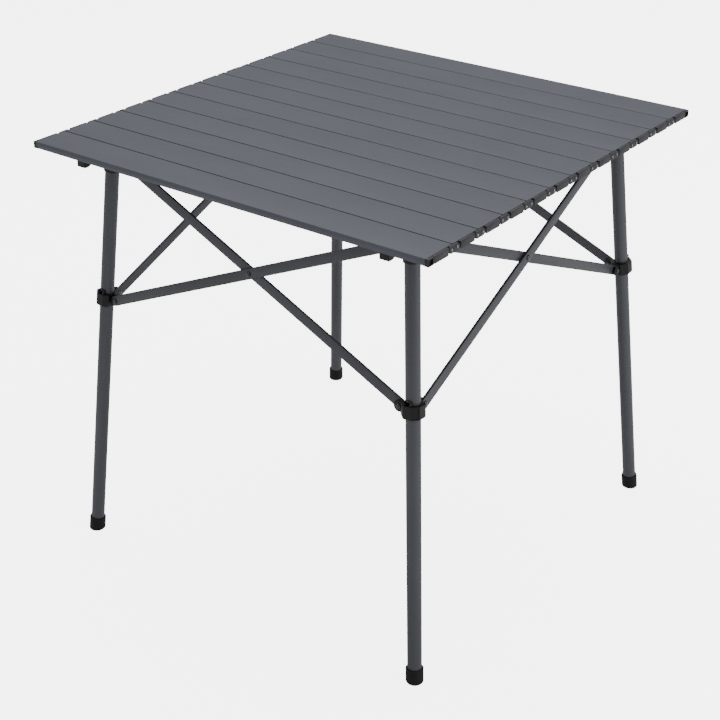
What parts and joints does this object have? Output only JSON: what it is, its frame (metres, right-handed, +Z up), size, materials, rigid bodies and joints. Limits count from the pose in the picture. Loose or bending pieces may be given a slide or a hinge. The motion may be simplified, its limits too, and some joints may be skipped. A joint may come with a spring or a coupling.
{
  "type": "folding camp table",
  "caption": "Square folding camp table with a roll-up slatted aluminium top on four splayed tube legs joined by crossed bars and sliding collars.",
  "frame": {"origin": "on the ground, at the middle of the four feet", "axes": "+Z up; +X along the slats, to the right seen from the front; +Y from the front to the back across the slats"},
  "size_m": [0.7218, 0.7204, 0.7],
  "materials": {
    "slat_aluminium": "satin grey coating on drawn aluminium, faint lengthwise grain",
    "link_plastic": "moulded dark grey plastic",
    "leg_aluminium": "satin dark grey coating on round tube",
    "bar_aluminium": "satin dark grey coating on flat bar",
    "moulded_plastic": "fine-grained black moulding"
  },
  "bodies": {
    "leg_set_front_left": {"leg_front_left": "leg_aluminium", "foot_front_left": "moulded_plastic", "cap_front_left": "moulded_plastic"},
    "leg_set_front_right": {"leg_front_right": "leg_aluminium", "foot_front_right": "moulded_plastic", "cap_front_right": "moulded_plastic"},
    "leg_set_back_right": {"leg_back_right": "leg_aluminium", "foot_back_right": "moulded_plastic", "cap_back_right": "moulded_plastic"},
    "leg_set_back_left": {"leg_back_left": "leg_aluminium", "foot_back_left": "moulded_plastic", "cap_back_left": "moulded_plastic"},
    "collar_front_left": {"collar_front_left": "moulded_plastic"},
    "collar_front_right": {"collar_front_right": "moulded_plastic"},
    "collar_back_right": {"collar_back_right": "moulded_plastic"},
    "collar_back_left": {"collar_back_left": "moulded_plastic"},
    "bar_front_outer": {"bar_front_outer": "bar_aluminium"},
    "bar_front_inner": {"bar_front_inner": "bar_aluminium"},
    "bar_right_outer": {"bar_right_outer": "bar_aluminium"},
    "bar_right_inner": {"bar_right_inner": "bar_aluminium"},
    "bar_back_outer": {"bar_back_outer": "bar_aluminium"},
    "bar_back_inner": {"bar_back_inner": "bar_aluminium"},
    "bar_left_outer": {"bar_left_outer": "bar_aluminium"},
    "bar_left_inner": {"bar_left_inner": "bar_aluminium"},
    "slat_06": {"slat_06": "slat_aluminium"},
    "slat_01": {"slat_01": "slat_aluminium"},
    "slat_02": {"slat_02": "slat_aluminium"},
    "slat_03": {"slat_03": "slat_aluminium"},
    "slat_04": {"slat_04": "slat_aluminium"},
    "slat_05": {"slat_05": "slat_aluminium"},
    "slat_07": {"slat_07": "slat_aluminium"},
    "slat_08": {"slat_08": "slat_aluminium"},
    "slat_09": {"slat_09": "slat_aluminium"},
    "slat_10": {"slat_10": "slat_aluminium"},
    "slat_11": {"slat_11": "slat_aluminium"},
    "slat_12": {"slat_12": "slat_aluminium"},
    "links_01": {"link_left_01": "link_plastic", "link_right_01": "link_plastic"},
    "links_02": {"link_left_02": "link_plastic", "link_right_02": "link_plastic"},
    "links_03": {"link_left_03": "link_plastic", "link_right_03": "link_plastic"},
    "links_04": {"link_left_04": "link_plastic", "link_right_04": "link_plastic"},
    "links_05": {"link_left_05": "link_plastic", "link_right_05": "link_plastic"},
    "links_06": {"link_left_06": "link_plastic", "link_right_06": "link_plastic"},
    "links_07": {"link_left_07": "link_plastic", "link_right_07": "link_plastic"},
    "links_08": {"link_left_08": "link_plastic", "link_right_08": "link_plastic"},
    "links_09": {"link_left_09": "link_plastic", "link_right_09": "link_plastic"},
    "links_10": {"link_left_10": "link_plastic", "link_right_10": "link_plastic"},
    "links_11": {"link_left_11": "link_plastic", "link_right_11": "link_plastic"}
  },
  "joints": [
    {"name": "frame_fold", "type": "hinge", "parent": "leg_set_front_left", "child": "bar_front_inner", "pos_m": [-0.25679, -0.27836, 0.66668], "axis": [0, 0.9966, -0.0824], "range_deg": [0, 64.92]},
    {"name": "front_bars_crossing", "type": "hinge", "parent": "bar_front_inner", "child": "bar_front_outer", "pos_m": [0, -0.2876, 0.55499], "axis": [0, -0.9966, 0.0824], "range_deg": [0, 120.84]},
    {"name": "front_right_leg_pivot", "type": "hinge", "parent": "bar_front_outer", "child": "leg_set_front_right", "pos_m": [0.25679, -0.27836, 0.66668], "axis": [0, 0.9966, -0.0824], "range_deg": [0, 64.92]},
    {"name": "left_outer_bar_pivot", "type": "hinge", "parent": "leg_set_front_left", "child": "bar_left_outer", "pos_m": [-0.27836, -0.25679, 0.66668], "axis": [-0.9966, 0, 0.0824], "range_deg": [0, 64.92]},
    {"name": "left_bars_crossing", "type": "hinge", "parent": "bar_left_outer", "child": "bar_left_inner", "pos_m": [-0.2876, 0, 0.55499], "axis": [0.9966, 0, -0.0824], "range_deg": [0, 120.84]},
    {"name": "back_left_leg_pivot", "type": "hinge", "parent": "bar_left_inner", "child": "leg_set_back_left", "pos_m": [-0.27836, 0.25679, 0.66668], "axis": [-0.9966, 0, 0.0824], "range_deg": [0, 64.92]},
    {"name": "right_inner_bar_pivot", "type": "hinge", "parent": "leg_set_front_right", "child": "bar_right_inner", "pos_m": [0.27836, -0.25679, 0.66668], "axis": [-0.9966, 0, -0.0824], "range_deg": [0, 64.92]},
    {"name": "right_bars_crossing", "type": "hinge", "parent": "bar_right_inner", "child": "bar_right_outer", "pos_m": [0.2876, 0, 0.55499], "axis": [0.9966, 0, 0.0824], "range_deg": [0, 120.84]},
    {"name": "back_right_leg_pivot", "type": "hinge", "parent": "bar_right_outer", "child": "leg_set_back_right", "pos_m": [0.27836, 0.25679, 0.66668], "axis": [-0.9966, 0, -0.0824], "range_deg": [0, 64.92]},
    {"name": "back_inner_bar_pivot", "type": "hinge", "parent": "leg_set_back_right", "child": "bar_back_inner", "pos_m": [0.25679, 0.27836, 0.66668], "axis": [0, -0.9966, -0.0824], "range_deg": [0, 64.92]},
    {"name": "back_bars_crossing", "type": "hinge", "parent": "bar_back_inner", "child": "bar_back_outer", "pos_m": [0, 0.2876, 0.55499], "axis": [0, 0.9966, 0.0824], "range_deg": [0, 120.84]},
    {"name": "front_left_collar_slide", "type": "slide", "parent": "leg_set_front_left", "child": "collar_front_left", "axis": [-0.0821, -0.0821, -0.9932], "range_m": [0, 0.345]},
    {"name": "front_right_collar_slide", "type": "slide", "parent": "leg_set_front_right", "child": "collar_front_right", "axis": [0.0821, -0.0821, -0.9932], "range_m": [0, 0.345]},
    {"name": "back_right_collar_slide", "type": "slide", "parent": "leg_set_back_right", "child": "collar_back_right", "axis": [0.0821, 0.0821, -0.9932], "range_m": [0, 0.345]},
    {"name": "back_left_collar_slide", "type": "slide", "parent": "leg_set_back_left", "child": "collar_back_left", "axis": [-0.0821, 0.0821, -0.9932], "range_m": [0, 0.345]},
    {"name": "top_lift", "type": "slide", "parent": "leg_set_front_left", "child": "slat_06", "axis": [0, 0, 1], "range_m": [0, 0.75]},
    {"name": "seam_05_roll", "type": "hinge", "parent": "slat_06", "child": "slat_05", "pos_m": [0, -0.06008, 0.69357], "axis": [1, 0, 0], "range_deg": [0, 28.82]},
    {"name": "seam_05_links", "type": "hinge", "parent": "slat_06", "child": "links_05", "pos_m": [0, -0.05348, 0.6944], "axis": [1, 0, 0], "range_deg": [0, 14.41]},
    {"name": "seam_04_roll", "type": "hinge", "parent": "slat_05", "child": "slat_04", "pos_m": [0, -0.12016, 0.69357], "axis": [1, 0, 0], "range_deg": [0, 28.82]},
    {"name": "seam_04_links", "type": "hinge", "parent": "slat_05", "child": "links_04", "pos_m": [0, -0.11356, 0.6944], "axis": [1, 0, 0], "range_deg": [0, 14.41]},
    {"name": "seam_03_roll", "type": "hinge", "parent": "slat_04", "child": "slat_03", "pos_m": [0, -0.18024, 0.69357], "axis": [1, 0, 0], "range_deg": [0, 28.82]},
    {"name": "seam_03_links", "type": "hinge", "parent": "slat_04", "child": "links_03", "pos_m": [0, -0.17364, 0.6944], "axis": [1, 0, 0], "range_deg": [0, 14.41]},
    {"name": "seam_02_roll", "type": "hinge", "parent": "slat_03", "child": "slat_02", "pos_m": [0, -0.24032, 0.69357], "axis": [1, 0, 0], "range_deg": [0, 28.82]},
    {"name": "seam_02_links", "type": "hinge", "parent": "slat_03", "child": "links_02", "pos_m": [0, -0.23372, 0.6944], "axis": [1, 0, 0], "range_deg": [0, 14.41]},
    {"name": "seam_01_roll", "type": "hinge", "parent": "slat_02", "child": "slat_01", "pos_m": [0, -0.3004, 0.69357], "axis": [1, 0, 0], "range_deg": [0, 28.82]},
    {"name": "seam_01_links", "type": "hinge", "parent": "slat_02", "child": "links_01", "pos_m": [0, -0.2938, 0.6944], "axis": [1, 0, 0], "range_deg": [0, 14.41]},
    {"name": "seam_06_roll", "type": "hinge", "parent": "slat_06", "child": "slat_07", "pos_m": [0, 0, 0.69357], "axis": [-1, 0, 0], "range_deg": [0, 28.82]},
    {"name": "seam_06_links", "type": "hinge", "parent": "slat_06", "child": "links_06", "pos_m": [0, -0.0066, 0.6944], "axis": [-1, 0, 0], "range_deg": [0, 14.41]},
    {"name": "seam_07_roll", "type": "hinge", "parent": "slat_07", "child": "slat_08", "pos_m": [0, 0.06008, 0.69357], "axis": [-1, 0, 0], "range_deg": [0, 28.82]},
    {"name": "seam_07_links", "type": "hinge", "parent": "slat_07", "child": "links_07", "pos_m": [0, 0.05348, 0.6944], "axis": [-1, 0, 0], "range_deg": [0, 14.41]},
    {"name": "seam_08_roll", "type": "hinge", "parent": "slat_08", "child": "slat_09", "pos_m": [0, 0.12016, 0.69357], "axis": [-1, 0, 0], "range_deg": [0, 28.82]},
    {"name": "seam_08_links", "type": "hinge", "parent": "slat_08", "child": "links_08", "pos_m": [0, 0.11356, 0.6944], "axis": [-1, 0, 0], "range_deg": [0, 14.41]},
    {"name": "seam_09_roll", "type": "hinge", "parent": "slat_09", "child": "slat_10", "pos_m": [0, 0.18024, 0.69357], "axis": [-1, 0, 0], "range_deg": [0, 28.82]},
    {"name": "seam_09_links", "type": "hinge", "parent": "slat_09", "child": "links_09", "pos_m": [0, 0.17364, 0.6944], "axis": [-1, 0, 0], "range_deg": [0, 14.41]},
    {"name": "seam_10_roll", "type": "hinge", "parent": "slat_10", "child": "slat_11", "pos_m": [0, 0.24032, 0.69357], "axis": [-1, 0, 0], "range_deg": [0, 28.82]},
    {"name": "seam_10_links", "type": "hinge", "parent": "slat_10", "child": "links_10", "pos_m": [0, 0.23372, 0.6944], "axis": [-1, 0, 0], "range_deg": [0, 14.41]},
    {"name": "seam_11_roll", "type": "hinge", "parent": "slat_11", "child": "slat_12", "pos_m": [0, 0.3004, 0.69357], "axis": [-1, 0, 0], "range_deg": [0, 28.82]},
    {"name": "seam_11_links", "type": "hinge", "parent": "slat_11", "child": "links_11", "pos_m": [0, 0.2938, 0.6944], "axis": [-1, 0, 0], "range_deg": [0, 14.41]}
  ],
  "couplings": [
    {"joint": "front_bars_crossing", "follows": "frame_fold", "ratio": 1.8615},
    {"joint": "front_right_leg_pivot", "follows": "frame_fold", "ratio": 1},
    {"joint": "left_outer_bar_pivot", "follows": "frame_fold", "ratio": 1},
    {"joint": "left_bars_crossing", "follows": "frame_fold", "ratio": 1.8615},
    {"joint": "back_left_leg_pivot", "follows": "frame_fold", "ratio": 1},
    {"joint": "right_inner_bar_pivot", "follows": "frame_fold", "ratio": 1},
    {"joint": "right_bars_crossing", "follows": "frame_fold", "ratio": 1.8615},
    {"joint": "back_right_leg_pivot", "follows": "frame_fold", "ratio": 1},
    {"joint": "back_inner_bar_pivot", "follows": "frame_fold", "ratio": 1},
    {"joint": "back_bars_crossing", "follows": "frame_fold", "ratio": 1.8615},
    {"joint": "front_left_collar_slide", "follows": "frame_fold", "m_per_rad": 0.30431},
    {"joint": "front_right_collar_slide", "follows": "frame_fold", "m_per_rad": 0.30431},
    {"joint": "back_right_collar_slide", "follows": "frame_fold", "m_per_rad": 0.30431},
    {"joint": "back_left_collar_slide", "follows": "frame_fold", "m_per_rad": 0.30431},
    {"joint": "seam_05_roll", "follows": "top_lift", "rad_per_m": 0.67021},
    {"joint": "seam_05_links", "follows": "top_lift", "rad_per_m": 0.3351},
    {"joint": "seam_04_roll", "follows": "top_lift", "rad_per_m": 0.67021},
    {"joint": "seam_04_links", "follows": "top_lift", "rad_per_m": 0.3351},
    {"joint": "seam_03_roll", "follows": "top_lift", "rad_per_m": 0.67021},
    {"joint": "seam_03_links", "follows": "top_lift", "rad_per_m": 0.3351},
    {"joint": "seam_02_roll", "follows": "top_lift", "rad_per_m": 0.67021},
    {"joint": "seam_02_links", "follows": "top_lift", "rad_per_m": 0.3351},
    {"joint": "seam_01_roll", "follows": "top_lift", "rad_per_m": 0.67021},
    {"joint": "seam_01_links", "follows": "top_lift", "rad_per_m": 0.3351},
    {"joint": "seam_06_roll", "follows": "top_lift", "rad_per_m": 0.67021},
    {"joint": "seam_06_links", "follows": "top_lift", "rad_per_m": 0.3351},
    {"joint": "seam_07_roll", "follows": "top_lift", "rad_per_m": 0.67021},
    {"joint": "seam_07_links", "follows": "top_lift", "rad_per_m": 0.3351},
    {"joint": "seam_08_roll", "follows": "top_lift", "rad_per_m": 0.67021},
    {"joint": "seam_08_links", "follows": "top_lift", "rad_per_m": 0.3351},
    {"joint": "seam_09_roll", "follows": "top_lift", "rad_per_m": 0.67021},
    {"joint": "seam_09_links", "follows": "top_lift", "rad_per_m": 0.3351},
    {"joint": "seam_10_roll", "follows": "top_lift", "rad_per_m": 0.67021},
    {"joint": "seam_10_links", "follows": "top_lift", "rad_per_m": 0.3351},
    {"joint": "seam_11_roll", "follows": "top_lift", "rad_per_m": 0.67021},
    {"joint": "seam_11_links", "follows": "top_lift", "rad_per_m": 0.3351}
  ]
}
